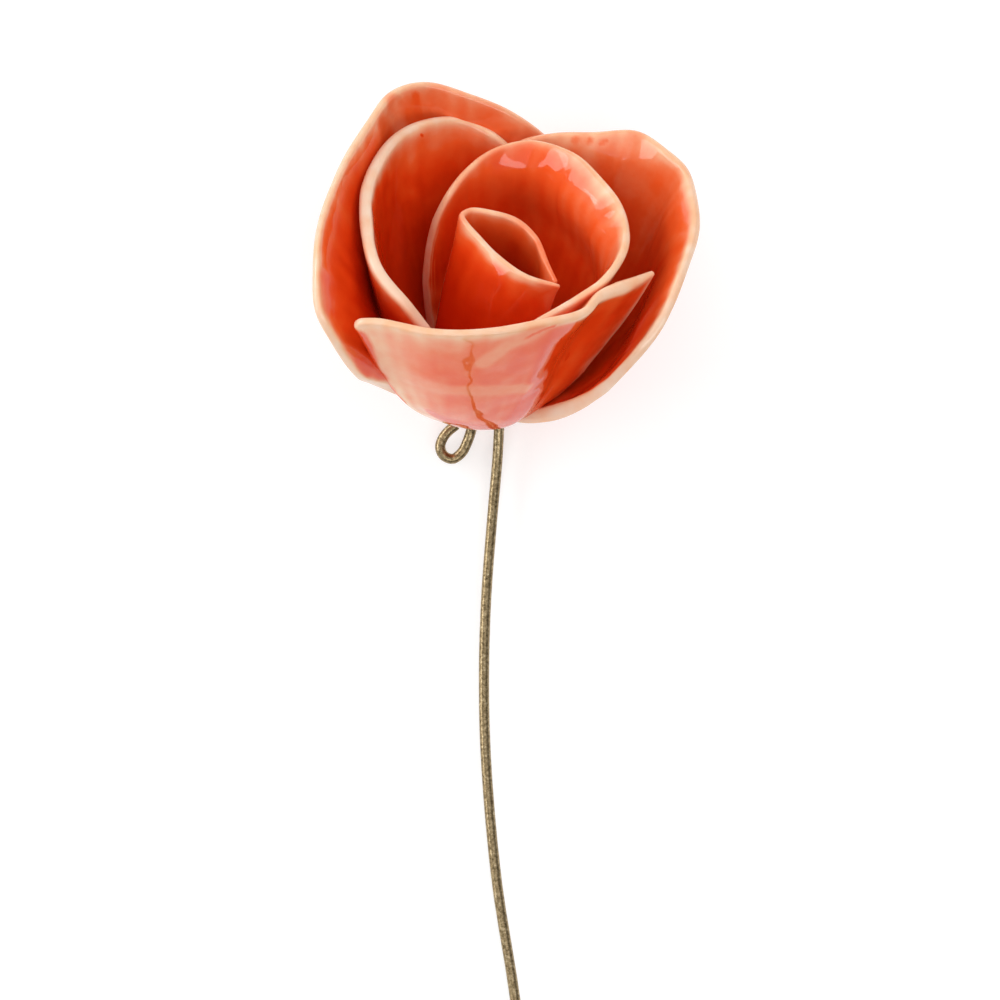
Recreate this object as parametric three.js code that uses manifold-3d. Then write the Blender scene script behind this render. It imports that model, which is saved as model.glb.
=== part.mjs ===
// A glazed ceramic rose on a bent brass wire stem, laid down on a flat surface.
// Lengths are millimetres. In the part's frame +Z is up from the surface, +Y runs from the cut end
// of the stem towards the flower, and the origin is the middle of the space it takes up, at the
// surface.
// The flower is modelled upright in a frame of its own: its origin is the centre of the underside
// of its foot, +Z runs up through the bud and +Y is the back of the bloom, which it lies on.
import * as THREE from 'three';
import { mergeVertices } from 'three/addons/utils/BufferGeometryUtils.js';
import Module from 'manifold-3d';

const wasm = await Module();
wasm.setup();

// How the flower lies: back from upright, turned clockwise from above, and where its foot is
const FLOWER_LEAN = 46;
const FLOWER_TURN = 8.5;
const FOOT_PLACE = [-4.1, 81.2, 5.4];

// Clay slabs, rolled out and cut, thinner towards the rim
const SLAB_AT_FOOT = 2.4;
const SLAB_AT_RIM = 1.5;
const SLAB_COLUMNS = 32;
const SLAB_ROWS = 8;

// Foot, a rounded square pad of clay that the slabs are pressed on to, and the heart above it,
// turned from a profile of [radius, height]
const FOOT_WIDTH = 10.2;
const FOOT_HEIGHT = 4;
const FOOT_ROUNDING = 0.8;
const HEART_PROFILE = [[0, 2], [5, 2], [7.4, 3.6], [8.2, 6], [8.2, 8.5], [6.2, 11], [0, 11]];
const TURNED_SIDES = 32;

// Wire, and the holes in the foot that it runs up and down, as distances right of the foot's middle
const WIRE_DIAMETER = 1.5;
const WIRE_SIDES = 8;
const HOLE_CLEARANCE = 0.3;
const HOLE_SIDES = 12;
const STEM_HOLE = 3.2;
const RETURN_HOLE = -0.3;
const BEND_HEIGHT = 1.4;

const RADIANS = Math.PI / 180;

// How far out and up a slab is pushed, at a third and at two thirds of its way from root to rim,
// as parts of that way.
const BOWL = [[0.5, 0.03], [0.8, 0.5]];
const SHALLOW_BOWL = [[0.4, 0.12], [0.74, 0.52]];
const FLARED_BOWL = [[0.38, 0.06], [0.68, 0.5]];
const STRAIGHT = [[0.33, 0.33], [0.67, 0.67]];
const BUD = [[0.1, 0.35], [0.4, 0.75]];

// A slab's rim runs through points of [right, back, up], counterclockwise round the flower, and
// its root is an arc on the foot. Its profiles are those of its first edge, middle and last edge.
const SLABS = {
  outerLeft: {
    rim: [[9.5, 17.5, 12], [11, 21, 19.5], [9, 23.4, 26.5], [3.3, 24.6, 31.5], [-1.8, 24.2, 35],
      [-8, 24.2, 37], [-14.2, 24, 38], [-18.4, 21.2, 38], [-21.2, 14.2, 37.5],
      [-23.9, 4.8, 36.5], [-25.2, -5.9, 35.5], [-24.8, -13.2, 33.5], [-23.5, -18.1, 30],
      [-20.9, -19.4, 26], [-18.6, -18.8, 21.8], [-16.4, -17.3, 17.6]],
    root: { from: 65, to: 215, radius: 4.5, height: 1.5 },
    profiles: [BOWL, BOWL, STRAIGHT],
  },
  outerRight: {
    rim: [[18, -9.8, 17.4], [21, -10, 23.4], [23.7, -7.4, 28.4], [25.4, -2.9, 32.4],
      [26.6, 3.8, 34.4], [26.3, 8.6, 35.4], [24.1, 15.6, 36.4], [20.9, 18.6, 36.9],
      [16.4, 21.7, 36.9], [10.5, 21.7, 35.5], [4.7, 22.5, 33.5], [0.1, 22.3, 31.3],
      [-3.8, 20.4, 27], [-5.5, 17.2, 20], [-5.5, 14, 13]],
    root: { from: -40, to: 110, radius: 4.5, height: 1.5 },
    profiles: [SHALLOW_BOWL, BOWL, BOWL],
  },
  front: {
    rim: [[-18.7, -18.5, 29.4], [-15.2, -18.7, 30.4], [-7.8, -19.9, 31], [-1.1, -19.1, 31.5],
      [6.8, -15.8, 31.9], [12.8, -12.2, 31.9], [14.6, -9, 32.4], [17, -6.6, 32.4],
      [21.6, -1.4, 31.4]],
    root: { from: -145, to: -25, radius: 4.5, height: 1.2 },
    profiles: [FLARED_BOWL, SHALLOW_BOWL, SHALLOW_BOWL],
  },
  innerLeft: {
    rim: [[5.5, 14.6, 14], [5.5, 17.5, 22], [2.5, 20.1, 28], [-1.3, 21.6, 31], [-5, 22.8, 32.5],
      [-9.6, 22.8, 33.5], [-14.5, 19, 34.5], [-17.7, 14.6, 34.5], [-19.8, 5.8, 34.4],
      [-19.2, -1.7, 33.4], [-16.5, -10, 32.4], [-11.4, -13.6, 29.4], [-8.2, -14.4, 26],
      [-5, -13.5, 20], [-3.5, -12, 14]],
    root: { from: 80, to: 260, radius: 5, height: 2.5 },
    profiles: [BOWL, BOWL, STRAIGHT],
  },
  innerRight: {
    rim: [[-2.5, -11.5, 14], [-0.5, -12, 20], [3, -12, 25], [6.4, -11.3, 28], [12.1, -7.9, 31],
      [15, -5.8, 33], [17, -0.2, 34.5], [15.9, 7.1, 35], [12.6, 12.5, 35], [7.8, 17.8, 34.5],
      [1.6, 20.2, 33.5], [-3.4, 18.2, 32.5], [-6.6, 14.6, 31], [-8.6, 11.5, 29],
      [-9.9, 9.8, 25.5], [-10.4, 8.6, 21], [-10.3, 7.4, 15.5]],
    root: { from: -90, to: 150, radius: 6, height: 3 },
    profiles: [STRAIGHT, BOWL, BOWL],
  },
  bud: {
    rim: [[8.3, -4.4, 29.5], [6.5, -1.1, 30], [4.4, 3.4, 30.5], [1.4, 5.8, 31], [-1.9, 6.1, 31.5],
      [-5, 6.1, 31.5], [-6.2, 4.6, 31.5], [-5.4, 3, 31.5], [-3.6, 1.4, 31], [-0.5, -1.6, 30.5],
      [3.9, -4.4, 30], [8.9, -5.1, 29.5]],
    root: { from: -50, to: 345, radius: 6.8, height: 5 },
    profiles: [BUD, BUD, BUD],
  },
};

// The wire's course from its cut end to just below the foot, as [right, towards the flower, up]
// from the foot's place on the surface
const STEM_COURSE = [[10.5, -208, 0.75], [11.5, -175, 1.1], [10.5, -140, 1.45], [8, -110, 1.75],
  [5.2, -85.5, 1.95], [2.5, -68, 2.1], [1, -51, 2.25], [0.7, -39.5, 2.35], [1, -28, 2.4],
  [1.85, -16.5, 2.45], [2.6, -8, 2.55]];
// Its course from below the foot round the small eye that it ends in
const EYE_COURSE = [[-1.25, -3.9, 2.7], [-1.75, -5.3, 2.5], [-2.5, -6.7, 2.4], [-3.8, -7.6, 2.4],
  [-5.1, -7.1, 2.4], [-5.6, -5.9, 2.4], [-5.2, -4.6, 2.4], [-4.4, -3.6, 2.4], [-3.3, -2.7, 2.4]];

// One of a slab's two profile points, blended from its first edge over its middle to its last.
function profilePoint(slab, index, root, top, along) {
  const [first, middle, last] = slab.profiles.map((profile) => profile[index]);
  const end = along < 0.5 ? first : last;
  const weight = Math.sin(Math.PI * along);
  const point = root.clone().lerp(top, THREE.MathUtils.lerp(end[0], middle[0], weight));
  point.z = THREE.MathUtils.lerp(root.z, top.z, THREE.MathUtils.lerp(end[1], middle[1], weight));
  return point;
}

// A point of a slab's middle surface: along runs from its first edge to its last, and up from
// its root to its rim, both from 0 to 1.
function slabPoint(slab, rim, along, up) {
  const top = rim.getPointAt(along);
  const angle = THREE.MathUtils.lerp(slab.root.from, slab.root.to, along) * RADIANS;
  const root = new THREE.Vector3(
    slab.root.radius * Math.cos(angle), slab.root.radius * Math.sin(angle), slab.root.height);
  const belly = profilePoint(slab, 0, root, top, along);
  const shoulder = profilePoint(slab, 1, root, top, along);
  return new THREE.CubicBezierCurve3(root, belly, shoulder, top).getPoint(up);
}

// A closed slab with a rounded edge round its middle surface.
function slabGeometry(slab) {
  const rim = new THREE.CatmullRomCurve3(slab.rim.map((point) => new THREE.Vector3(...point)));
  const point = (along, up) => slabPoint(
    slab, rim, THREE.MathUtils.clamp(along, 0, 1), THREE.MathUtils.clamp(up, 0, 1));
  const step = 0.002;
  const acrossAt = (along, up) => point(along + step, up).sub(point(along - step, up)).normalize();
  const riseAt = (along, up) => point(along, up + step).sub(point(along, up - step)).normalize();
  // the way out is taken a little inside the border, as a corner's two edges may run the same way
  const inset = 0.05;
  const outwardsAt = (along, up) => {
    const [a, b] = [THREE.MathUtils.clamp(along, inset, 1 - inset), Math.min(up, 1 - inset)];
    return acrossAt(a, b).cross(riseAt(a, b)).normalize();
  };
  const vertices = [];
  const add = (vertex) => vertices.push(vertex.x, vertex.y, vertex.z) / 3 - 1;
  const outer = [];
  const inner = [];
  const edge = [];
  for (let i = 0; i <= SLAB_COLUMNS; i += 1) {
    for (let j = 0; j <= SLAB_ROWS; j += 1) {
      const along = i / SLAB_COLUMNS;
      const up = j / SLAB_ROWS;
      const middle = point(along, up);
      const outwards = outwardsAt(along, up);
      const away = new THREE.Vector3();
      if (i === 0) away.sub(riseAt(along, up).cross(outwards));
      if (i === SLAB_COLUMNS) away.add(riseAt(along, up).cross(outwards));
      if (j === SLAB_ROWS) away.add(outwards.clone().cross(acrossAt(along, up)));
      const half = THREE.MathUtils.lerp(SLAB_AT_FOOT, SLAB_AT_RIM, up) / 2;
      if (away.lengthSq() > 0) {
        edge[inner.length] = add(middle);
        middle.addScaledVector(away.normalize(), -half);
      }
      outer.push(add(middle.clone().addScaledVector(outwards, half)));
      inner.push(add(middle.clone().addScaledVector(outwards, -half)));
    }
  }
  const at = (i, j) => i * (SLAB_ROWS + 1) + j;
  const faces = [];
  const quad = (a, b, c, d) => faces.push(a, b, c, a, c, d);
  for (let i = 0; i < SLAB_COLUMNS; i += 1) {
    for (let j = 0; j < SLAB_ROWS; j += 1) {
      const corners = [at(i, j), at(i + 1, j), at(i + 1, j + 1), at(i, j + 1)];
      const [a, b, c, d] = corners.map((corner) => inner[corner]);
      quad(...corners.map((corner) => outer[corner]));
      faces.push(a, c, b, a, d, c);
    }
    quad(inner[at(i, 0)], inner[at(i + 1, 0)], outer[at(i + 1, 0)], outer[at(i, 0)]);
  }
  // the border runs up the first edge, along the rim and down the last edge
  const border = [];
  for (let j = 0; j < SLAB_ROWS; j += 1) border.push(at(0, j));
  for (let i = 0; i <= SLAB_COLUMNS; i += 1) border.push(at(i, SLAB_ROWS));
  for (let j = SLAB_ROWS - 1; j >= 0; j -= 1) border.push(at(SLAB_COLUMNS, j));
  for (let k = 1; k < border.length; k += 1) {
    const [last, next] = [border[k - 1], border[k]];
    quad(outer[last], outer[next], edge[next], edge[last]);
    quad(edge[last], edge[next], inner[next], inner[last]);
  }
  const [start, end] = [border[0], border.at(-1)];
  faces.push(outer[start], edge[start], inner[start], inner[end], edge[end], outer[end]);
  const geometry = new THREE.BufferGeometry();
  geometry.setAttribute('position', new THREE.Float32BufferAttribute(vertices, 3));
  geometry.setIndex(faces);
  return geometry;
}

function turnedGeometry(profile) {
  const geometry = new THREE.LatheGeometry(
    profile.map(([radius, height]) => new THREE.Vector2(radius, height)), TURNED_SIDES);
  geometry.rotateX(Math.PI / 2);
  return geometry;
}

// The foot, with its sides pressed flat and square to the picture
function footGeometry() {
  const half = FOOT_WIDTH / 2;
  const geometry = turnedGeometry([
    [0, 0], [half - FOOT_ROUNDING, 0], [half, FOOT_ROUNDING], [half, FOOT_HEIGHT], [0, FOOT_HEIGHT]]);
  const position = geometry.attributes.position;
  for (let i = 0; i < position.count; i += 1) {
    const angle = Math.atan2(position.getY(i), position.getX(i)) - FLOWER_TURN * RADIANS;
    const squareness = (Math.abs(Math.cos(angle)) ** 4 + Math.abs(Math.sin(angle)) ** 4) ** -0.25;
    position.setX(i, position.getX(i) * squareness);
    position.setY(i, position.getY(i) * squareness);
  }
  return geometry;
}

// The heart of clay above the foot, which fills the bloom's bottom between the slabs
function heartGeometry() {
  return turnedGeometry(HEART_PROFILE);
}

// A course whose steps are shared out evenly between its points, so that tight bends get short
// steps and straight runs long ones.
class Course extends THREE.CatmullRomCurve3 {
  getUtoTmapping(part) {
    return part;
  }
}

function tubeGeometry(points, diameter, sides, stepsPerPoint) {
  const section = new THREE.Shape();
  for (let k = 0; k < sides; k += 1) {
    const angle = (2 * Math.PI * k) / sides;
    const [x, y] = [diameter / 2 * Math.cos(angle), diameter / 2 * Math.sin(angle)];
    if (k === 0) section.moveTo(x, y);
    else section.lineTo(x, y);
  }
  return new THREE.ExtrudeGeometry(section, {
    extrudePath: new Course(points), steps: stepsPerPoint * (points.length - 1),
    bevelEnabled: false, curveSegments: 1,
  });
}

// The bend inside the foot, up the stem's hole and down the other one, in the flower's frame
function bendPoints(reach) {
  const middle = (STEM_HOLE + RETURN_HOLE) / 2;
  const radius = (STEM_HOLE - RETURN_HOLE) / 2;
  const points = [new THREE.Vector3(STEM_HOLE, 0, -reach)];
  for (const angle of [0, 45, 90, 135, 180]) {
    points.push(new THREE.Vector3(
      middle + radius * Math.cos(angle * RADIANS), 0,
      BEND_HEIGHT + radius * Math.sin(angle * RADIANS)));
  }
  points.push(new THREE.Vector3(RETURN_HOLE, 0, -reach));
  return points;
}

function toManifold(source) {
  const geometry = source.clone();
  geometry.deleteAttribute('normal');
  geometry.deleteAttribute('uv');
  const merged = mergeVertices(geometry, 1e-4);
  return new wasm.Manifold(new wasm.Mesh({
    numProp: 3,
    vertProperties: new Float32Array(merged.attributes.position.array),
    triVerts: new Uint32Array(merged.index.array),
  }));
}

function toGeometry(manifold) {
  const mesh = manifold.getMesh();
  const geometry = new THREE.BufferGeometry();
  geometry.setAttribute('position', new THREE.BufferAttribute(mesh.vertProperties, 3));
  geometry.setIndex(new THREE.BufferAttribute(mesh.triVerts, 1));
  return geometry;
}

const flower = new THREE.Group();
flower.position.set(...FOOT_PLACE);
flower.rotation.set(-FLOWER_LEAN * RADIANS, 0, -FLOWER_TURN * RADIANS, 'ZXY');
flower.updateMatrixWorld(true);

const glaze = new THREE.MeshStandardMaterial({ color: 0xd8552b, roughness: 0.15, metalness: 0 });
const brass = new THREE.MeshStandardMaterial({ color: 0x8a744a, roughness: 0.4, metalness: 1 });

// The head is one fired piece, with small flats on the petals that it lies on.
let clay = toManifold(footGeometry()).add(toManifold(heartGeometry()));
for (const slab of Object.values(SLABS)) clay = clay.add(toManifold(slabGeometry(slab)));
const holes = tubeGeometry(bendPoints(3), WIRE_DIAMETER + 2 * HOLE_CLEARANCE, HOLE_SIDES, 3);
const underTheSurface = new THREE.BoxGeometry(200, 200, 40);
underTheSurface.translate(FOOT_PLACE[0], FOOT_PLACE[1], -40 / 2);
underTheSurface.applyMatrix4(flower.matrixWorld.clone().invert());
clay = clay.subtract(toManifold(holes)).subtract(toManifold(underTheSurface));
const head = new THREE.Mesh(toGeometry(clay), glaze);
head.name = 'rose_head';
flower.add(head);

// The stem is one length of wire, from its cut end through the foot to the eye.
const onSurface = ([right, along, up]) => new THREE.Vector3(
  FOOT_PLACE[0] + right, FOOT_PLACE[1] + along, up);
const wirePoints = [
  ...STEM_COURSE.map(onSurface),
  ...bendPoints(1.5).map((point) => flower.localToWorld(point)),
  ...EYE_COURSE.map(onSurface),
];
const stem = new THREE.Mesh(tubeGeometry(wirePoints, WIRE_DIAMETER, WIRE_SIDES, 4), brass);
stem.name = 'stem_wire';

const rose = new THREE.Group();
rose.add(flower, stem);

export default rose;
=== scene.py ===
import math

import bmesh
import bpy
import numpy as np
from mathutils import Matrix, Vector, noise


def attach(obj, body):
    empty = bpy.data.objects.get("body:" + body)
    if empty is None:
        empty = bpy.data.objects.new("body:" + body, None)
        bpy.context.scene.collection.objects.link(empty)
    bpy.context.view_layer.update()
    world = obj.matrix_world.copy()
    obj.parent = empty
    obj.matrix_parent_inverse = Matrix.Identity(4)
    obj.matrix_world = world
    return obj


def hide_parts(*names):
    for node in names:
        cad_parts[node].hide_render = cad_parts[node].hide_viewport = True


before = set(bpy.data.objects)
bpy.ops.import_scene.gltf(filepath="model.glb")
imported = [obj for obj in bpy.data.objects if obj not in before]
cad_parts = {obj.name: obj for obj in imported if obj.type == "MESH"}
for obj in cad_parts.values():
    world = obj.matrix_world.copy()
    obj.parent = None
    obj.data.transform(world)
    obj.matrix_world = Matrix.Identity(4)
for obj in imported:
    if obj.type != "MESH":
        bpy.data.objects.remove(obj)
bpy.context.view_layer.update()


# ---- Foot and heart -------------------------------------------------------------------------
# The foot is a fingertip-sized pad of white stoneware clay, pressed square, that carries all the
# petals. The heart is the lump of clay above it that they were pressed on to. Both are dipped in
# the same glaze as the petals.
FLOWER_LEAN = 46               # degrees back from upright
FLOWER_TURN = 8.5              # degrees, so that the bloom faces a little to one side
FOOT_PLACE = (-4.1, 81.2, 5.4)
FOOT_PROFILE = [(0, 0), (4.2, 0), (4.85, 0.25), (5.1, 0.9), (5.1, 4), (0, 4)]
HEART_PROFILE = [(0, 2), (5, 2), (6.4, 2.6), (7.4, 3.6), (8, 4.8), (8.2, 6.4), (8.1, 8),
                 (7.4, 9.6), (6.2, 10.6), (0, 11)]
TURN_STEPS = 96
WELD = 0.0005                  # vertices closer than this are one

# From the flower's own frame, upright in millimetres, to where it lies, in metres. The head is
# drawn 0.4 % small, so that its wavy rims stay within the part's box.
flower_to_row = (
    Matrix.Scale(0.001, 4)
    @ Matrix.Translation(FOOT_PLACE)
    @ Matrix.Rotation(math.radians(-FLOWER_TURN), 4, "Z")
    @ Matrix.Rotation(math.radians(-FLOWER_LEAN), 4, "X")
    @ Matrix.Scale(0.996, 4)
)


def linear(hex_colour):
    """A linear colour with alpha from an sRGB hex value."""
    channels = [int(hex_colour[k:k + 2], 16) / 255 for k in (1, 3, 5)]
    return [c / 12.92 if c <= 0.04045 else ((c + 0.055) / 1.055) ** 2.4 for c in channels] + [1]


def add_node(material, kind, settings=None, links=None, stops=()):
    """Adds a node, sets its properties and unlinked inputs, and links its other inputs.

    A colour ramp's stops are (position, hex value)."""
    node = material.node_tree.nodes.new(kind)
    for name, value in (settings or {}).items():
        if isinstance(name, str) and hasattr(node, name):
            setattr(node, name, value)
        else:
            node.inputs[name].default_value = value
    for name, source in (links or {}).items():
        material.node_tree.links.new(source, node.inputs[name])
    if stops:
        elements = node.color_ramp.elements
        while len(elements) < len(stops):
            elements.new(0.5)
        for element, (position, shade) in zip(elements, stops):
            element.position = position
            element.color = linear(shade)
    return node


def dipped_glaze():
    """Glossy reactive glaze on white stoneware, dipped and fired.

    It runs thin over every edge, where the clay shows through as cream and peach, and lies thick
    in the hollows, where it is a deep blood red. That deep red is partly painted shade: the glaze
    is drawn thickest in the deep places that lie in shade. Its skin is smooth and slightly wavy."""
    material = bpy.data.materials.new("dipped_orange_glaze")
    material.use_nodes = True
    material.node_tree.nodes.clear()
    place = add_node(material, "ShaderNodeTexCoord").outputs["Object"]
    thickness = add_node(material, "ShaderNodeAttribute", {"attribute_name": "glaze"})
    # the glaze breaks in clouds about 4 mm across, and in small flecks under 1 mm
    clouds = add_node(material, "ShaderNodeTexNoise", {
        "Scale": 260.0, "Detail": 3.0, "Roughness": 0.55}, {"Vector": place})
    flecks = add_node(material, "ShaderNodeTexNoise", {
        "Scale": 1300.0, "Detail": 2.0, "Roughness": 0.6}, {"Vector": place})
    clouded = add_node(material, "ShaderNodeMath", {
        "operation": "MULTIPLY_ADD", 1: 0.16, 2: -0.08}, {0: clouds.outputs["Fac"]})
    flecked = add_node(material, "ShaderNodeMath", {
        "operation": "MULTIPLY_ADD", 1: 0.05, 2: -0.025}, {0: flecks.outputs["Fac"]})
    varied = add_node(material, "ShaderNodeMath", {"operation": "ADD"}, {
        0: thickness.outputs["Fac"], 1: clouded.outputs[0]})
    fired = add_node(material, "ShaderNodeMath", {"operation": "ADD"}, {
        0: varied.outputs[0], 1: flecked.outputs[0]})
    # from cream where the glaze is thin to deep red where it is thick; the deep end is also painted
    # shade in the hollows
    colour = add_node(material, "ShaderNodeValToRGB", {}, {"Fac": fired.outputs[0]}, [
        (0, "#F2D3BA"), (0.14, "#F1BA92"), (0.28, "#EF9A72"), (0.42, "#ED774A"),
        (0.56, "#EB5B26"), (0.75, "#E54312"), (1, "#D23006")])
    # a fired skin isn't flat: it waves by a few hundredths of a millimetre over 5 mm
    waves = add_node(material, "ShaderNodeTexNoise", {
        "Scale": 200.0, "Detail": 2.0, "Roughness": 0.5}, {"Vector": place})
    skin = add_node(material, "ShaderNodeBump", {"Strength": 0.2, "Distance": 0.0004}, {
        "Height": waves.outputs["Fac"]})
    shader = add_node(material, "ShaderNodeBsdfPrincipled", {
        "Roughness": 0.05, "IOR": 1.5}, {
        "Base Color": colour.outputs["Color"], "Normal": skin.outputs["Normal"]})
    add_node(material, "ShaderNodeOutputMaterial", {}, {"Surface": shader.outputs["BSDF"]})
    return material


glaze = dipped_glaze()


def clay_piece(name, shape, thickness):
    """Makes a glazed piece of the head from a bmesh in the flower's frame.

    thickness says, for each vertex, how thick the glaze lies on it, from 0 to 1. In places it also
    carries painted shade and a painted reflection."""
    layer = shape.verts.layers.float.new("glaze")
    shape.verts.ensure_lookup_table()
    for vertex, value in zip(shape.verts, thickness):
        vertex[layer] = value
    bmesh.ops.remove_doubles(shape, verts=shape.verts, dist=WELD)
    bmesh.ops.transform(shape, matrix=flower_to_row, verts=shape.verts)
    for vertex in shape.verts:
        vertex.co.z = max(vertex.co.z, 0.0)
    mesh = bpy.data.meshes.new(name)
    for face in shape.faces:
        face.smooth = True
    shape.to_mesh(mesh)
    shape.free()
    mesh.materials.append(glaze)
    piece = bpy.data.objects.new(name, mesh)
    bpy.context.scene.collection.objects.link(piece)
    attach(piece, "root")
    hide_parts("rose_head")


def turned(profile):
    """A closed shape turned round the flower's axis from a profile of (radius, height)."""
    shape = bmesh.new()
    path = [shape.verts.new((radius, 0, height)) for radius, height in profile]
    edges = [shape.edges.new(pair) for pair in zip(path, path[1:])]
    bmesh.ops.spin(shape, geom=path + edges, cent=(0, 0, 0), axis=(0, 0, 1), dvec=(0, 0, 0),
                   angle=math.tau, steps=TURN_STEPS, use_merge=True)
    bmesh.ops.remove_doubles(shape, verts=shape.verts, dist=WELD)
    bmesh.ops.recalc_face_normals(shape, faces=shape.faces)
    return shape


foot = turned(FOOT_PROFILE)
for vertex in foot.verts:
    angle = math.atan2(vertex.co.y, vertex.co.x) - math.radians(FLOWER_TURN)
    squareness = (abs(math.cos(angle)) ** 4 + abs(math.sin(angle)) ** 4) ** -0.25
    vertex.co.x *= squareness
    vertex.co.y *= squareness
clay_piece("foot", foot, [0.3] * len(foot.verts))

heart = turned(HEART_PROFILE)
clay_piece("heart", heart, [0.95] * len(heart.verts))


# ---- Bud ------------------------------------------------------------------------------------
# The bud is one thin slab of clay rolled up round the heart and pinched shut at its left end, so
# that it makes a pointed cup. Its lip is wiped round with a wet finger.
SLAB_AT_FOOT = 2.4                                       # how thick it is
SLAB_AT_RIM = 1.5
BORDER_STEPS = (0, 0.03, 0.12, 0.27, 0.48, 0.75, 1.1)   # of half the slab's thickness
SMOOTHNESS = 2.4                                         # 2 is a round edge, more is squarer
FACET = 0.42                                             # the grid's spacing
STEP = 0.004                                             # of the slab, for finding directions
GLAZE_AT = (0, 0.8, 1.6, 2.6, 5, 10, 20)                 # mm from the slab's edge
WAVE, RIPPLE = 9, 2.6                                    # how long the clay's waves are
WAVINESS = 0.12                                          # and how far it leaves its curve
STREAK_WIDTH, STREAK_LENGTH = 1.7, 7
BUD_PROFILE = [(0.1, 0.35), (0.4, 0.75)]
noise.seed_set(5)                                        # the same waves each time


def mix(a, b, share):
    """The value that lies a share of the way from a to b."""
    return a + (b - a) * share


def smooth_course(points, steps=60):
    """Close-set points of a smooth line through points, and how far along it each lies."""
    p = np.array(points, float)
    p = np.vstack([2 * p[0] - p[1], p, 2 * p[-1] - p[-2]])
    knots = np.concatenate([[0], np.cumsum(np.linalg.norm(np.diff(p, axis=0), axis=1) ** 0.5)])
    t = np.linspace(knots[1], knots[-2], steps * (len(points) - 1) + 1)
    k = np.clip(np.searchsorted(knots, t, side="right") - 1, 1, len(p) - 3)
    t = t[:, None]
    a, b, c, d = (knots[k + n][:, None] for n in (-1, 0, 1, 2))
    low = mix(p[k - 1], p[k], (t - a) / (b - a))
    middle = mix(p[k], p[k + 1], (t - b) / (c - b))
    high = mix(p[k + 1], p[k + 2], (t - c) / (d - c))
    course = mix(mix(low, middle, (t - a) / (c - a)), mix(middle, high, (t - b) / (d - b)),
                 (t - b) / (c - b))
    length = np.concatenate([[0], np.cumsum(np.linalg.norm(np.diff(course, axis=0), axis=1))])
    return course, length


class Slab:
    """A rolled slab of clay, from an arc on the heart that it is pressed on to, up to its rim.

    rim is the points of a smooth line. root is the arc's first and last angle in degrees, its
    radius and its height. profiles say how the slab bellies out at its first edge, its middle and
    its last edge: each is two handles of a curve, as shares of the way out and the way up."""

    def __init__(self, rim, root, profiles):
        self.course, length = smooth_course(rim)
        self.width = length[-1]
        self.parts = length / self.width
        self.root = root
        self.profiles = np.array(profiles, float)

    def middle(self, along, up):
        """Points of the slab's middle surface; along and up run from 0 to 1."""
        along, up = np.clip(along, 0, 1), np.clip(up, 0, 1)
        top = np.stack([np.interp(along, self.parts, self.course[:, k]) for k in range(3)], -1)
        start, end, radius, height = self.root
        angle = np.radians(mix(start, end, along))
        root = np.stack([radius * np.cos(angle), radius * np.sin(angle),
                         np.full_like(along, height)], -1)
        weight = np.sin(math.pi * along)
        turn = np.clip((along - 0.35) / 0.3, 0, 1)
        turn = turn * turn * (3 - 2 * turn)
        first, middle, last = self.profiles
        points = [root]
        for k in (0, 1):
            out, rise = (
                mix(mix(first[k, n], last[k, n], turn), middle[k, n], weight)
                for n in (0, 1))
            point = mix(root, top, out[..., None])
            point[..., 2] = mix(root[..., 2], top[..., 2], rise)
            points.append(point)
        points.append(top)
        u = up[..., None]
        return ((1 - u) ** 3 * points[0] + 3 * (1 - u) ** 2 * u * points[1]
                + 3 * (1 - u) * u ** 2 * points[2] + u ** 3 * points[3])

    def outwards(self, along, up):
        """The way out of the bloom, taken a little inside the border."""
        inset = 0.05
        along, up = np.clip(along, inset, 1 - inset), np.clip(up, STEP, 1 - inset)
        across = self.middle(along + STEP, up) - self.middle(along - STEP, up)
        rise = self.middle(along, up + STEP) - self.middle(along, up - STEP)
        way = np.cross(across, rise)
        return way / np.linalg.norm(way, axis=-1, keepdims=True)


def border_spaced(count, length, half):
    """Distances from 0 to length, close together near both ends and even between them."""
    near = np.array(BORDER_STEPS) * half
    inner = np.linspace(near[-1], length - near[-1], count + 1 - 2 * (len(near) - 1))
    return np.concatenate([near[:-1], inner, length - near[:-1][::-1]])


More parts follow.
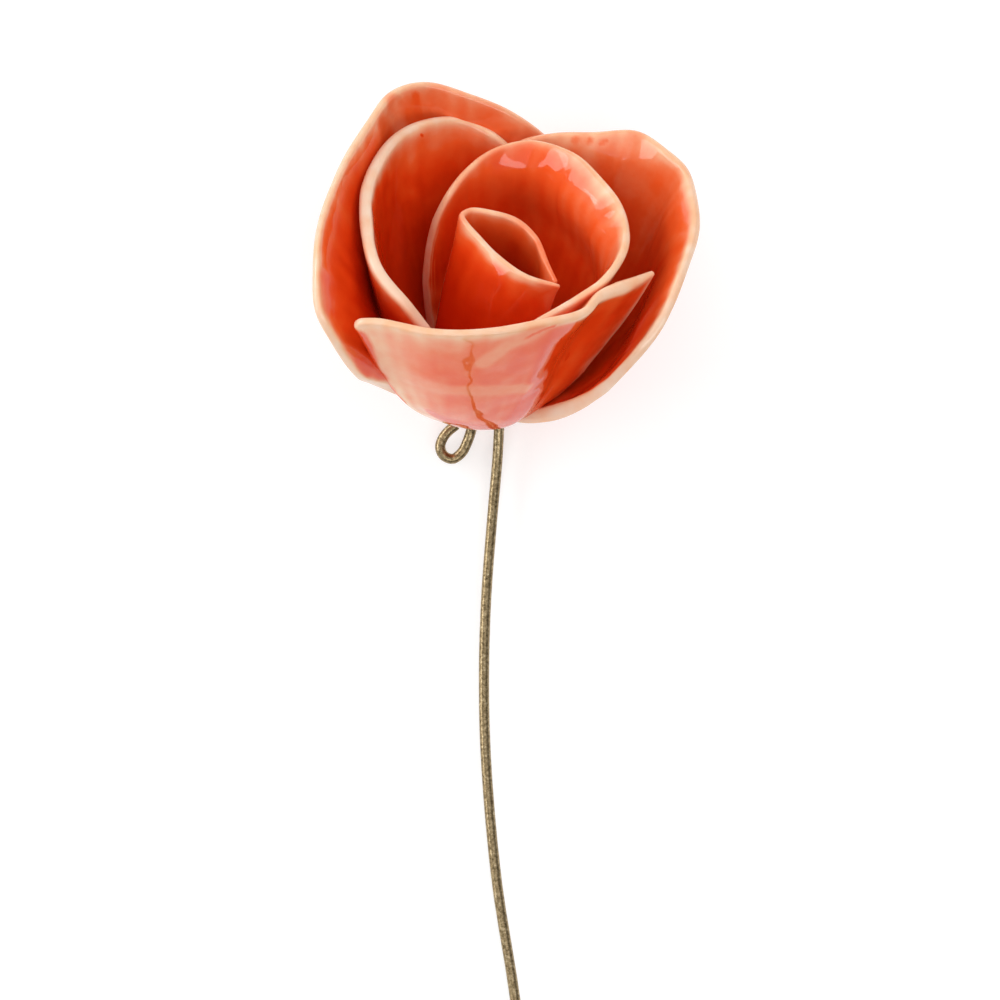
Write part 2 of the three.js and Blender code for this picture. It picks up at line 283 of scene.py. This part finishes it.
def cut_out(slab, corners):
    """Cuts a grid to the slab's size and draws its two upper corners in to a round.

    Returns its bmesh and, for each vertex, its place along and up the slab, from 0 to 1, and its
    distances in mm from the nearer side, from the rim and from the nearest edge of all."""
    half_rim = SLAB_AT_RIM / 2
    near = len(BORDER_STEPS) - 1
    columns = round(slab.width / FACET) + 2 * len(BORDER_STEPS)
    rises = slab.middle(*np.meshgrid([0.3, 0.5, 0.7], np.linspace(0, 1, 60), indexing="ij"))
    height = np.linalg.norm(np.diff(rises, axis=1), axis=-1).sum(1).mean()
    rows = round(height / FACET) + 2 * len(BORDER_STEPS)
    shape = bmesh.new()
    bmesh.ops.create_grid(shape, x_segments=columns, y_segments=rows, size=0.5)
    flat = np.array([vertex.co for vertex in shape.verts])
    column = np.rint((flat[:, 0] + 0.5) * columns).astype(int)
    row = np.rint((flat[:, 1] + 0.5) * rows).astype(int)

    # the slab's height at each place along it, and how far up it each row of the grid has climbed
    along = (border_spaced(columns, slab.width, half_rim) / slab.width)[column]
    fine = np.linspace(0, 1, 81)
    strips = 120
    sheet = slab.middle(*np.meshgrid(np.linspace(0, 1, strips + 1), fine, indexing="ij"))
    lengths = np.zeros(sheet.shape[:2])
    lengths[:, 1:] = np.cumsum(np.linalg.norm(np.diff(sheet, axis=1), axis=-1), axis=1)
    reach = np.interp(along, np.linspace(0, 1, strips + 1), lengths[:, -1])
    tall = 1000
    spacing = border_spaced(rows, tall, half_rim)
    climbed = np.where(row < near, spacing[row], np.where(
        row > rows - near, reach - (tall - spacing[row]),
        mix(spacing[near], reach - spacing[near], (row - near) / (rows - 2 * near))))

    # the share of the curve's length that it has climbed, turned to the curve's own parameter
    climbs = lengths / lengths[:, -1:]
    strip = np.floor(along * strips).astype(int).clip(0, strips - 1)
    up = np.empty_like(along)
    for k in range(strips):
        here = strip == k
        part = climbed[here] / reach[here]
        up[here] = mix(np.interp(part, climbs[k], fine), np.interp(part, climbs[k + 1], fine),
                       along[here] * strips - k)

    # a vertex in a corner moves in along its spoke, until the square is a quarter of a round
    inset = np.clip(along, STEP, 1 - STEP)
    across = np.linalg.norm(slab.middle(inset + STEP, up) - slab.middle(inset - STEP, up),
                            axis=-1) / (2 * STEP)
    side = np.minimum(along, 1 - along) * across
    drop = reach - climbed
    corner = np.where(along < 0.5, *corners)
    in_corner = (side < corner) & (drop < corner)
    most = corner - np.minimum(side, drop)
    spoke = np.hypot(corner - side, corner - drop)
    shrink = np.where(in_corner & (spoke > 1e-6), most / np.maximum(spoke, 1e-6), 1)
    along = along + np.where(along < 0.5, 1, -1) * (corner - side) * (1 - shrink) / across
    up = up - (corner - drop) * (1 - shrink) / reach
    return shape, along, up, side, drop, np.minimum(np.minimum(side, drop), climbed)


def wobble(points, wave, seed):
    """Smooth random offsets between -1 and 1 in three directions, in waves so many mm long."""
    shift = Vector((seed * 7.3, 0, 0))
    return np.array([noise.noise_vector(Vector(p) / wave + shift) for p in points])


def glaze_over(rows, along, distance):
    """How thick the glaze lies, from rows of (place along the slab, values at GLAZE_AT)."""
    places = [place for place, _ in rows]
    columns = [np.interp(along, places, [values[k] for _, values in rows])
               for k in range(len(GLAZE_AT))]
    result = columns[-1].copy()
    for k in range(len(GLAZE_AT) - 1):
        share = (distance - GLAZE_AT[k]) / (GLAZE_AT[k + 1] - GLAZE_AT[k])
        here = (share >= 0) & (share < 1)
        result[here] = mix(columns[k], columns[k + 1], share)[here]
    return result


def brushed(layer, spread, run, half_width, value):
    """The glaze with a run or a blot of another thickness laid on it."""
    away = np.full(len(layer), np.inf)
    for a, b in zip(run, run[1:] or run):
        a, b = np.array(a, float), np.array(b, float)
        share = (spread - a) @ (b - a) / max((b - a) @ (b - a), 1e-6)
        nearest = a + np.clip(share, 0, 1)[:, None] * (b - a)
        away = np.minimum(away, np.linalg.norm(spread - nearest, axis=1))
    cover = np.clip(1.5 - 1.5 * away / half_width, 0, 1)
    return mix(layer, value, cover * cover * (3 - 2 * cover))


def petal(name, slab, inside, outside, thickness, seed, marks=(), flare=((0, 0), (1, 0)),
          flare_depth=8, corners=(1.2, 1.2)):
    """Rolls out a slab, bends its rim, rounds its edges and corners, and glazes it.

    inside and outside give how thick the glaze lies, as (place along the slab, values at the
    distances in GLAZE_AT). thickness of the rim and flare are (place along the slab, mm). A mark
    is a run or a blot of glaze: its side, its course as (mm along, mm below the rim), its half
    width in mm and how thick it lies. corners are the radii of the first and the last corner."""
    shape, along, up, side, drop, edge = cut_out(slab, corners)
    middle, way = slab.middle(along, up), slab.outwards(along, up)
    jitter, fine_jitter = wobble(middle, WAVE, seed), wobble(middle, RIPPLE, seed)

    # the flare draws the slab in most at flare_depth, and turns its way out with it
    amount = np.interp(along, *zip(*flare))[:, None]
    above = np.clip(drop / flare_depth, 0, 1)[:, None] * math.pi / 2
    below = np.clip(drop / flare_depth - 1, 0, 2)[:, None] * math.pi / 4
    middle = middle - way * amount * np.sin(above) * np.cos(below) ** 2
    middle = middle + way * jitter[:, :1] * WAVINESS * 2 * np.clip(up * 2, 0, 1)[:, None]
    slope = amount * math.pi / 2 * (np.cos(above) - np.sin(2 * below) / 2) / flare_depth
    level = np.clip(up, STEP, 1 - STEP)
    rise = slab.middle(along, level + STEP) - slab.middle(along, level - STEP)
    way = way - slope * rise / np.linalg.norm(rise, axis=-1, keepdims=True)
    way /= np.linalg.norm(way, axis=-1, keepdims=True)

    # the grid and its copy become the slab's two walls, uneven by some 12 % in waves and 8 % in
    # ripples, which meet in a round at its edges
    half = mix(SLAB_AT_FOOT, np.interp(along, *zip(*thickness)), up ** 2) / 2
    half *= 1 + 0.12 * jitter[:, 1] + 0.08 * fine_jitter[:, 1]
    near_edge = 1 - np.clip(edge / half, 0, 1)
    half = half * (1 - near_edge ** SMOOTHNESS) ** (1 / SMOOTHNESS)
    copied = bmesh.ops.duplicate(shape, geom=shape.verts[:] + shape.edges[:] + shape.faces[:])
    bmesh.ops.reverse_faces(shape, faces=[face for face in copied["geom"]
                                          if isinstance(face, bmesh.types.BMFace)])
    shape.verts.ensure_lookup_table()
    walls = np.vstack([middle + way * half[:, None], middle - way * half[:, None]])
    for vertex, place in zip(shape.verts, walls):
        vertex.co = place

    # the glaze breaks over the edges in an uneven line, and runs down the slab in faint streaks
    cloudy = np.minimum(side, drop) * (1 + 0.35 * jitter[:, 2] + 0.45 * fine_jitter[:, 2])
    spread = np.stack([along * slab.width, drop], -1)
    spread += 0.8 * jitter[:, :2] + 0.5 * fine_jitter[:, :2]
    layers = {}
    for side_name, rows, offset in (("outside", outside, 0.5), ("inside", inside, 4.5)):
        streaks = np.array([
            noise.noise(Vector((a * slab.width / STREAK_WIDTH, d / STREAK_LENGTH, seed + offset)))
            for a, d in zip(along, drop)])
        layers[side_name] = glaze_over(rows, along, cloudy) + 0.09 * streaks
    for side_name, run, half_width, value in marks:
        layers[side_name] = brushed(layers[side_name], spread, run, half_width, value)
    # both sides' glaze meets evenly on the edge itself
    both = (layers["outside"] + layers["inside"]) / 2
    clay_piece(name, shape, np.concatenate([
        mix(layers[side_name], both, near_edge ** 3) for side_name in ("outside", "inside")]))


BUD = Slab(
    rim=[(8.3, -4.4, 29.5), (6.5, -1.1, 30), (4.4, 3.4, 30.5), (1.4, 5.8, 31), (-1.9, 6.1, 31.5),
         (-5, 6.1, 31.5), (-6.2, 4.6, 31.5), (-5.4, 3, 31.5), (-3.6, 1.4, 31), (-0.5, -1.6, 30.5),
         (3.9, -4.4, 30), (8.9, -5.1, 29.5)],
    root=(-50, 345, 6.8, 5),
    profiles=[BUD_PROFILE, BUD_PROFILE, BUD_PROFILE],
)
petal("bud", BUD,
      inside=[(0, (0.4, 0.5, 0.55, 0.62, 0.7, 0.8, 0.9)),
              (0.25, (0.35, 0.45, 0.55, 0.6, 0.7, 0.8, 0.9)),
              (0.4, (0.12, 0.4, 0.55, 0.62, 0.7, 0.8, 0.9)),
              (0.5, (0.3, 0.5, 0.6, 0.7, 0.8, 0.9, 1)),
              (0.6, (0.1, 0.4, 0.6, 0.7, 0.8, 0.9, 1)),
              (1, (0.1, 0.4, 0.6, 0.7, 0.8, 0.9, 1))],
      outside=[(0, (0.5, 0.6, 0.7, 0.8, 0.85, 0.9, 1)),
               (0.25, (0.35, 0.5, 0.6, 0.7, 0.8, 0.9, 1)),
               (0.45, (0.1, 0.3, 0.5, 0.65, 0.8, 0.9, 1)),
               (0.53, (0.35, 0.5, 0.6, 0.7, 0.8, 0.9, 1)),
               (0.6, (0.1, 0.2, 0.55, 0.7, 0.85, 0.95, 1)),
               (0.9, (0.1, 0.2, 0.55, 0.7, 0.85, 0.95, 1)),
               (1, (0.4, 0.5, 0.6, 0.7, 0.85, 0.9, 1))],
      thickness=[(0, 0.6), (0.12, 0.9), (0.88, 0.9), (1, 0.6)], corners=(0.4, 0.4), seed=1)


# ---- Inner petals ---------------------------------------------------------------------------
# Two slabs of clay stand one inside the other round the bud, bent into deep bowls and pressed on
# to the heart. Each opens on the bud's other side, and their rims lean out a little.
BOWL = [(0.5, 0.03), (0.8, 0.5)]
STRAIGHT = [(0.33, 0.33), (0.67, 0.67)]
INNER_RIGHT = Slab(
    rim=[(-2.5, -11.5, 14), (-0.5, -12, 20), (3, -12, 25), (6.4, -11.3, 28), (12.1, -7.9, 31),
         (15, -5.8, 33), (17, -0.2, 34.5), (15.9, 7.1, 35), (12.6, 12.5, 35), (7.8, 17.8, 34.5),
         (1.6, 20.2, 33.5), (-3.4, 18.2, 32.5), (-6.6, 14.6, 31), (-8.6, 11.5, 29),
         (-9.9, 9.8, 25.5), (-10.4, 8.6, 21), (-10.3, 7.4, 15.5)],
    root=(-90, 150, 6, 3),
    profiles=[STRAIGHT, BOWL, BOWL],
)
INNER_LEFT = Slab(
    rim=[(5.5, 14.6, 14), (5.5, 17.5, 22), (2.5, 20.1, 28), (-1.3, 21.6, 31), (-5, 22.8, 32.5),
         (-9.6, 22.8, 33.5), (-14.5, 19, 34.5), (-17.7, 14.6, 34.5), (-19.8, 5.8, 34.4),
         (-19.2, -1.7, 33.4), (-16.5, -10, 32.4), (-11.4, -13.6, 29.4), (-8.2, -14.4, 26),
         (-5, -13.5, 20), (-3.5, -12, 14)],
    root=(80, 260, 5, 2.5),
    profiles=[BOWL, BOWL, STRAIGHT],
)
petal("inner_petal_right", INNER_RIGHT,
      # the deep red that its inside reaches towards its last edge, in the shade behind the bud, is
      # partly painted shade
      inside=[(0, (0.1, 0.2, 0.4, 0.5, 0.6, 0.7, 0.9)),
              (0.5, (0.1, 0.2, 0.4, 0.46, 0.5, 0.56, 0.75)),
              (0.75, (0.25, 0.48, 0.58, 0.62, 0.68, 0.8, 0.95)),
              (0.81, (0.3, 0.52, 0.62, 0.68, 0.76, 0.9, 1)),
              (0.88, (0.1, 0.35, 0.55, 0.7, 0.85, 1, 1)),
              (1, (0.1, 0.25, 0.45, 0.65, 0.9, 1, 1))],
      outside=[(0, (0.1, 0.2, 0.4, 0.5, 0.65, 0.8, 0.9)), (1, (0.1, 0.3, 0.5, 0.7, 0.8, 0.9, 1))],
      # two cream runs at its last edge
      marks=[("inside", [(82, 1.6), (86, 2.2), (88, 5)], 0.7, 0.42),
             ("inside", [(84, 4.2), (85.5, 8)], 0.6, 0.55)],
      thickness=[(0, 1.1), (0.8, 1.1), (0.9, 1.4), (1, 1.4)],
      flare=[(0.3, 0), (0.4, 0.9), (0.46, 2.5), (0.58, 2.7), (0.64, 1.6), (0.7, 1.3), (0.75, 0.7),
             (0.8, 0)],
      flare_depth=4.5, seed=2)
petal("inner_petal_left", INNER_LEFT,
      inside=[(0, (0.2, 0.3, 0.4, 0.5, 0.65, 0.8, 0.9)),
              (0.3, (0.1, 0.22, 0.42, 0.52, 0.64, 0.85, 1)),
              (0.42, (0.06, 0.22, 0.36, 0.46, 0.66, 0.9, 1)),
              (0.5, (0.04, 0.1, 0.36, 0.62, 0.85, 1, 1)),
              (0.8, (0.04, 0.08, 0.4, 0.7, 0.9, 1, 1)), (1, (0.1, 0.2, 0.5, 0.7, 0.9, 1, 1))],
      outside=[(0, (0.1, 0.2, 0.4, 0.5, 0.65, 0.8, 0.9)), (1, (0.04, 0.2, 0.5, 0.6, 0.7, 0.9, 1))],
      marks=[("inside", [(36.6, 2.5)], 0.35, 1)],      # one red speck
      thickness=[(0, 1.2), (0.3, 1.3), (0.5, 1.8), (0.8, 1.6), (1, 1.3)], seed=3)


# ---- Front petal ----------------------------------------------------------------------------
# The front slab flares out below the bud and runs down into the foot. Its outside took the glaze
# thin, so it is peach and salmon with cream runs, and it thickens to orange at both its sides.
# The pale salmon is partly a painted reflection of a soft box. It ends in a sharp change to orange
# three fifths of the way along, and the orange beyond is partly painted shade.
SHALLOW_BOWL = [(0.4, 0.12), (0.74, 0.52)]
FLARED_BOWL = [(0.38, 0.06), (0.68, 0.5)]
FRONT = Slab(
    rim=[(-18.7, -18.5, 29.4), (-15.2, -18.7, 30.4), (-7.8, -19.9, 31), (-1.1, -19.1, 31.5),
         (6.8, -15.8, 31.9), (12.8, -12.2, 31.9), (14.6, -9, 32.4), (17, -6.6, 32.4),
         (21.6, -1.4, 31.4)],
    root=(-145, -25, 4.5, 1.2),
    profiles=[FLARED_BOWL, SHALLOW_BOWL, SHALLOW_BOWL],
)
petal("front_petal", FRONT,
      inside=[(0, (0.1, 0.2, 0.4, 0.5, 0.65, 0.8, 0.9)), (1, (0.1, 0.2, 0.4, 0.5, 0.65, 0.8, 0.9))],
      # pale for three fifths of the way, partly a painted reflection, then sharply orange, partly
      # painted shade
      outside=[(0, (0.08, 0.1, 0.14, 0.2, 0.26, 0.28, 0.28)),
               (0.12, (0.08, 0.12, 0.18, 0.26, 0.3, 0.32, 0.3)),
               (0.25, (0.08, 0.14, 0.24, 0.3, 0.4, 0.56, 0.42)),
               (0.45, (0.08, 0.14, 0.26, 0.42, 0.52, 0.56, 0.4)),
               (0.57, (0.1, 0.18, 0.38, 0.5, 0.57, 0.58, 0.5)),
               (0.61, (0.1, 0.2, 0.55, 0.66, 0.72, 0.74, 0.74)),
               (1, (0.1, 0.2, 0.5, 0.65, 0.75, 0.85, 0.9))],
      # its orange first edge, a pale band across it, a pale run up to the rim with a fine parting
      # in it, the orange inside of its tip, and its orange base
      marks=[("outside", [(0, 3), (0, 23)], 1.9, 0.7), ("inside", [(0, 3), (0, 21)], 2, 0.6),
             ("outside", [(10.5, 14.1), (17.2, 14.4), (22.8, 15.3), (28, 17)], 2.1, 0.36),
             ("outside", [(18.9, 7.2), (22.4, 3.4), (25.9, 1.7)], 2.3, 0.33),
             ("outside", [(25, 2.6), (26.4, 2), (26.9, 1.4), (28.3, 1)], 0.35, 0.55),
             ("inside", [(38, 2.6), (46.5, 2)], 2, 0.6),
             ("outside", [(8, 25.5), (16, 28.5), (26, 30), (34, 29)], 2.6, 0.75)],
      thickness=[(0, 1.2), (0.05, 1.2), (0.76, 1.3), (0.86, 2.1), (0.95, 1.2), (1, 0.7)],
      flare=[(0.6, 0), (0.66, 0.8), (0.72, 1.4), (0.8, 1.4), (0.9, 0.6), (1, 0)], flare_depth=10,
      corners=(1.4, 0.4), seed=4)


# ---- Outer petals ---------------------------------------------------------------------------
# The two largest slabs wrap the others from the left and from the right, and lap over each other
# at the back, which the flower lies on.
OUTER_LEFT = Slab(
    rim=[(9.5, 17.5, 12), (11, 21, 19.5), (9, 23.4, 26.5), (3.3, 24.6, 31.5), (-1.8, 24.2, 35),
         (-8, 24.2, 37), (-14.2, 24, 38), (-18.4, 21.2, 38), (-21.2, 14.2, 37.5),
         (-23.9, 4.8, 36.5), (-25.2, -5.9, 35.5), (-24.8, -13.2, 33.5), (-23.5, -18.1, 30),
         (-20.9, -19.4, 26), (-18.6, -18.8, 21.8), (-16.4, -17.3, 17.6)],
    root=(65, 215, 4.5, 1.5),
    profiles=[BOWL, BOWL, STRAIGHT],
)
OUTER_RIGHT = Slab(
    rim=[(18, -9.8, 17.4), (21, -10, 23.4), (23.7, -7.4, 28.4), (25.4, -2.9, 32.4),
         (26.6, 3.8, 34.4), (26.3, 8.6, 35.4), (24.1, 15.6, 36.4), (20.9, 18.6, 36.9),
         (16.4, 21.7, 36.9), (10.5, 21.7, 35.5), (4.7, 22.5, 33.5), (0.1, 22.3, 31.3),
         (-3.8, 20.4, 27), (-5.5, 17.2, 20), (-5.5, 14, 13)],
    root=(-40, 110, 4.5, 1.5),
    profiles=[SHALLOW_BOWL, BOWL, BOWL],
)
petal("outer_petal_left", OUTER_LEFT,
      inside=[(0, (0.3, 0.36, 0.42, 0.46, 0.5, 0.6, 0.8)),
              (0.4, (0.25, 0.36, 0.42, 0.46, 0.5, 0.6, 0.8)),
              (0.5, (0.04, 0.26, 0.42, 0.5, 0.58, 0.7, 0.9)),
              (0.6, (0.06, 0.4, 0.6, 0.68, 0.74, 0.9, 1)),
              (0.78, (0.1, 0.48, 0.66, 0.74, 0.8, 0.95, 1)),
              (1, (0.04, 0.3, 0.5, 0.65, 0.75, 0.9, 1))],
      outside=[(0, (0.3, 0.35, 0.4, 0.45, 0.5, 0.6, 0.8)),
               (1, (0.02, 0.1, 0.3, 0.4, 0.5, 0.6, 0.7))],
      # a pale run and a red one beside it at the top
      marks=[("inside", [(49.5, 1.5), (48, 6)], 2.2, 0.4),
             ("inside", [(44.8, 1.5), (44, 7)], 1, 0.6)],
      thickness=[(0, 1.2), (1, 1.3)],
      flare=[(0.2, 0), (0.28, -0.5), (0.42, -0.5), (0.5, 0), (0.62, 2), (0.72, 2.8), (0.8, 3.3),
             (0.88, 2.6), (0.96, 0.8), (1, 0)],
      flare_depth=14, seed=5)
petal("outer_petal_right", OUTER_RIGHT,
      inside=[(0, (0.06, 0.2, 0.48, 0.62, 0.72, 0.8, 0.9)),
              (0.3, (0.06, 0.2, 0.48, 0.58, 0.64, 0.7, 0.8)),
              (0.4, (0.04, 0.18, 0.42, 0.5, 0.55, 0.6, 0.7)),
              (0.55, (0.2, 0.25, 0.3, 0.36, 0.48, 0.58, 0.74)),
              (0.7, (0.2, 0.25, 0.32, 0.4, 0.55, 0.8, 0.9)),
              (1, (0.3, 0.4, 0.45, 0.5, 0.6, 0.7, 0.9))],
      outside=[(0, (0.04, 0.1, 0.2, 0.4, 0.5, 0.6, 0.7)),
               (1, (0.3, 0.35, 0.4, 0.5, 0.6, 0.7, 0.8))],
      # three faint blots under the rim
      marks=[("inside", [(57.5, 1), (57.1, 1.3)], 0.6, 0.42), ("inside", [(55.4, 1.4)], 0.7, 0.42),
             ("inside", [(53.8, 2), (53.1, 1.7)], 0.6, 0.44)],
      thickness=[(0, 1.3), (0.5, 1.4), (0.7, 1.3), (1, 1.2)],
      flare=[(0, 0), (0.12, 0.3), (0.25, 1.3), (0.35, 1.6), (0.4, 1.3), (0.45, 0.4), (0.5, 0.4),
             (0.56, 1.5), (0.64, 1), (0.75, 0)],
      flare_depth=6, seed=6)


# ---- Stem wire ------------------------------------------------------------------------------
# The stem is a length of hard-drawn brass wire, gone brown with age. It runs up a hole in the
# foot, bends over inside it, comes down a second hole and ends in a small eye that locks it.
WIRE_RADIUS = 0.75
WIRE_SIDES = 24
WIRE_STEP = 0.35
WIRE_DENTS = 0.02      # how uneven it is, of its radius
DENT_SPACING = 1.5
STEM_HOLE = 3.2        # from the foot's middle
RETURN_HOLE = -0.3
BEND_HEIGHT = 1.4
BELOW_FOOT = -1.5      # from here up the wire is in line with its holes
STEM_COURSE = [
    (10.5, -207.9, 0.75), (11.5, -175, 1.1), (10.5, -140, 1.45), (8, -110, 1.75),
    (5.2, -85.5, 1.95), (2.5, -68, 2.1), (1, -51, 2.25), (0.7, -39.5, 2.35), (1, -28, 2.4),
    (1.85, -16.5, 2.45), (2.6, -8, 2.55)]
EYE_COURSE = [
    (-1.25, -3.9, 2.7), (-1.75, -5.3, 2.5), (-2.5, -6.7, 2.4), (-3.8, -7.6, 2.4),
    (-5.1, -7.1, 2.4), (-5.6, -5.9, 2.4), (-5.2, -4.6, 2.4), (-4.4, -3.6, 2.4), (-3.3, -2.7, 2.4)]


def aged_brass():
    """Hard-drawn brass wire, handled and gone brown.

    Its tarnish is a fine mottle of brown and straw, rubbed lighter in places, so it glints softly
    along the side the light comes from."""
    material = bpy.data.materials.new("aged_brass_wire")
    material.use_nodes = True
    material.node_tree.nodes.clear()
    place = add_node(material, "ShaderNodeTexCoord").outputs["Object"]
    # tarnish in specks about 0.4 mm across
    patches = add_node(material, "ShaderNodeTexNoise", {
        "Scale": 2400.0, "Detail": 3.0, "Roughness": 0.7}, {"Vector": place})
    colour = add_node(material, "ShaderNodeValToRGB", {}, {"Fac": patches.outputs["Fac"]}, [
        (0.3, "#5C4E39"), (0.45, "#8B7858"), (0.58, "#AF9A76"), (0.72, "#D3C2A0")])
    pits = add_node(material, "ShaderNodeBump", {"Strength": 0.5, "Distance": 0.00005}, {
        "Height": patches.outputs["Fac"]})
    shader = add_node(material, "ShaderNodeBsdfPrincipled", {
        "Metallic": 1.0, "Roughness": 0.32}, {
        "Base Color": colour.outputs["Color"], "Normal": pits.outputs["Normal"]})
    add_node(material, "ShaderNodeOutputMaterial", {}, {"Surface": shader.outputs["BSDF"]})
    return material


def on_surface(point):
    """A point given from the foot's middle, at its height over the surface."""
    return (FOOT_PLACE[0] + point[0], FOOT_PLACE[1] + point[1], point[2])


bend_middle = (STEM_HOLE + RETURN_HOLE) / 2
bend_radius = (STEM_HOLE - RETURN_HOLE) / 2
bend = [(STEM_HOLE, 0, BELOW_FOOT)]
for degrees in (0, 45, 90, 135, 180):
    bend.append((bend_middle + bend_radius * math.cos(math.radians(degrees)), 0,
                 BEND_HEIGHT + bend_radius * math.sin(math.radians(degrees))))
bend.append((RETURN_HOLE, 0, BELOW_FOOT))
wire_points = [on_surface(point) for point in STEM_COURSE]
wire_points += [tuple(flower_to_row @ Vector(point) * 1000) for point in bend]
wire_points += [on_surface(point) for point in EYE_COURSE]
course, length = smooth_course(wire_points)
steps = round(length[-1] / WIRE_STEP)
centres = np.stack([np.interp(np.linspace(0, length[-1], steps + 1), length, course[:, k])
                    for k in range(3)], -1)
headings = np.gradient(centres, axis=0)
headings /= np.linalg.norm(headings, axis=1, keepdims=True)

# a flat strip, rolled into a tube round the wire's course
wire = bmesh.new()
bmesh.ops.create_grid(wire, x_segments=steps, y_segments=WIRE_SIDES, size=0.5)
sideways = Vector((1, 0, 0))
rings = []
for heading in headings:
    heading = Vector(heading)
    sideways = (sideways - heading * sideways.dot(heading)).normalized()
    rings.append((sideways, heading.cross(sideways)))
for vertex in wire.verts:
    ring = round((vertex.co.x + 0.5) * steps)
    angle = (vertex.co.y + 0.5) * math.tau
    across, up = rings[ring]
    centre = Vector(centres[ring])
    radius = WIRE_RADIUS * (1 + WIRE_DENTS * noise.noise(centre / DENT_SPACING))
    place = centre + (across * math.cos(angle) + up * math.sin(angle)) * radius
    vertex.co = (place.x / 1000, place.y / 1000, max(place.z, 0) / 1000)
bmesh.ops.remove_doubles(wire, verts=wire.verts, dist=WELD / 1000)
bmesh.ops.holes_fill(wire, edges=wire.edges, sides=0)
bmesh.ops.recalc_face_normals(wire, faces=wire.faces)
for face in wire.faces:
    face.smooth = True
wire_mesh = bpy.data.meshes.new("brass_stem")
wire.to_mesh(wire_mesh)
wire.free()
wire_mesh.materials.append(aged_brass())
stem = bpy.data.objects.new("brass_stem", wire_mesh)
bpy.context.scene.collection.objects.link(stem)
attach(stem, "root")
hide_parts("stem_wire")


# ---- Studio ---------------------------------------------------------------------------------
# The flower lies on a plain white acrylic sheet, lit from below, and is photographed from straight
# above. Soft boxes overhead, in front and on the left show in the glaze, and pale walls at the
# back, in front and on the right fill its hollows. Lengths here are metres.
FLOOR_HALF = 1.2
FLOOR_HEIGHT = -0.00005        # just clear of the petals' flat backs
BLOOM_PLACE = (0, 0.1, 0.02)
CAMERA_PLACE = (-0.001097, 0.0676865, 0.7)
CAMERA_LENS = 174.7            # mm, so that the picture takes in 144 mm at the sheet
scene = bpy.context.scene
scene.view_settings.view_transform = "Standard"

floor_shape = bmesh.new()
bmesh.ops.create_grid(floor_shape, x_segments=1, y_segments=1, size=FLOOR_HALF)
bmesh.ops.translate(floor_shape, verts=floor_shape.verts, vec=(0, 0, FLOOR_HEIGHT))
floor_mesh = bpy.data.meshes.new("white_sheet")
floor_shape.to_mesh(floor_mesh)
floor_shape.free()
# opal acrylic with lamps under it, matt and even, so that what lies on it has faint shadows
acrylic = bpy.data.materials.new("lit_white_acrylic")
acrylic.use_nodes = True
sheet_shader = acrylic.node_tree.nodes["Principled BSDF"]
sheet_shader.inputs["Base Color"].default_value = linear("#C6C6C5")
sheet_shader.inputs["Roughness"].default_value = 0.9
sheet_shader.inputs["Emission Color"].default_value = linear("#FFFFFF")
# it glows most under the flower and fades out over the next half metre
glow_place = add_node(acrylic, "ShaderNodeMapping", {
    "Location": (0.0, -0.112, 0.0), "Scale": (1.67, 1.67, 1.67)}, {
    "Vector": add_node(acrylic, "ShaderNodeTexCoord").outputs["Object"]})
glow = add_node(acrylic, "ShaderNodeTexGradient", {"gradient_type": "SPHERICAL"}, {
    "Vector": glow_place.outputs["Vector"]})
glow_strength = add_node(acrylic, "ShaderNodeMapRange", {
    "From Min": 0.0, "From Max": 0.83, "To Min": 0.0, "To Max": 0.52}, {
    "Value": glow.outputs["Fac"]})
acrylic.node_tree.links.new(glow_strength.outputs["Result"],
                            sheet_shader.inputs["Emission Strength"])
floor_mesh.materials.append(acrylic)
floor = bpy.data.objects.new("white_sheet", floor_mesh)
scene.collection.objects.link(floor)

world = bpy.data.worlds.new("soft_room")
world.use_nodes = True
world.node_tree.nodes["Background"].inputs["Color"].default_value = linear("#F2F4F6")
world.node_tree.nodes["Background"].inputs["Strength"].default_value = 0.35
scene.world = world


def soft_box(name, azimuth, elevation, distance, size, brightness, glints=True):
    """A lamp seen from the bloom at an azimuth clockwise from +Y and an elevation, in degrees.

    Without glints it stands for light off the walls, too even to show in the glaze."""
    lamp = bpy.data.lights.new(name, "AREA")
    lamp.shape = "RECTANGLE"
    lamp.size, lamp.size_y = size
    lamp.energy = brightness * math.pi * size[0] * size[1]
    box = bpy.data.objects.new(name, lamp)
    turn, tilt = math.radians(azimuth), math.radians(elevation)
    way = Vector((math.sin(turn) * math.cos(tilt), math.cos(turn) * math.cos(tilt),
                  math.sin(tilt)))
    box.location = Vector(BLOOM_PLACE) + way * distance
    box.rotation_euler = way.to_track_quat("Z", "Y").to_euler()
    box.visible_glossy = glints
    scene.collection.objects.link(box)


soft_box("overhead_box", 180, 84, 1.3, (1.6, 1.6), 0.6)
soft_box("high_front_box", 172, 57, 1.0, (1.0, 0.22), 2.6)
soft_box("left_box", -82, 26, 1.0, (0.95, 0.48), 3.0)
soft_box("back_left_box", -48, 20, 1.0, (0.5, 0.5), 2.6)
soft_box("right_wall", 50, 40, 1.0, (0.5, 0.5), 2.6, glints=False)
soft_box("back_wall", 8, 45, 1.2, (1.0, 1.0), 1.15, glints=False)
soft_box("front_wall", 180, 18, 1.0, (0.8, 0.4), 0.9, glints=False)

camera = bpy.data.cameras.new("overhead_camera")
camera.lens = CAMERA_LENS
camera.sensor_width = 36
camera.clip_start = 0.01
camera.clip_end = 10
overhead = bpy.data.objects.new("overhead_camera", camera)
overhead.location = CAMERA_PLACE
scene.collection.objects.link(overhead)
scene.camera = overhead
